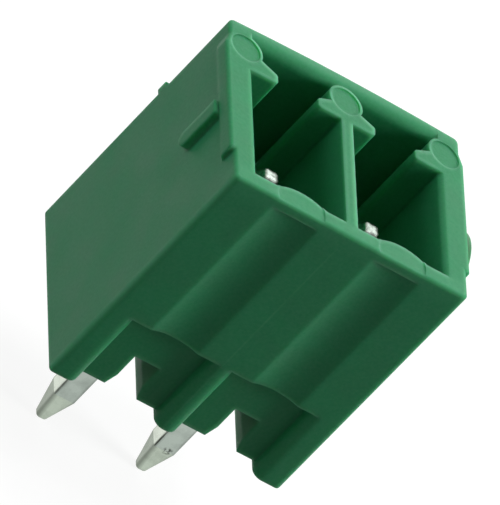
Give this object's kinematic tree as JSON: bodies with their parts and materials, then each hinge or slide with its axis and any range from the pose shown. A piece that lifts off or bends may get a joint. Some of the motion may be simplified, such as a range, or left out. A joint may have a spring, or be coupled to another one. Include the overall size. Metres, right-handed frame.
{
  "type": "pluggable terminal block header",
  "caption": "Moulded board header for a pluggable terminal block, with open chambers, T-shaped ribs, a fluted wall and straight square solder pins.",
  "frame": {"origin": "on the board's plane, midway between the two pins, on the underside of the middle leg", "axes": "+Z away from the board and out of the mouth; +X along the row of pins; -Y towards the fluted wall with the legs, +Y towards the wall behind the T ribs"},
  "size_m": [0.0096, 0.0076, 0.0134],
  "materials": {
    "green_plastic": "satin",
    "tin_plate": "dull tin plate"
  },
  "bodies": {
    "root": {"housing": "green_plastic", "contact_pin_1": "tin_plate", "contact_pin_2": "tin_plate"}
  },
  "joints": []
}
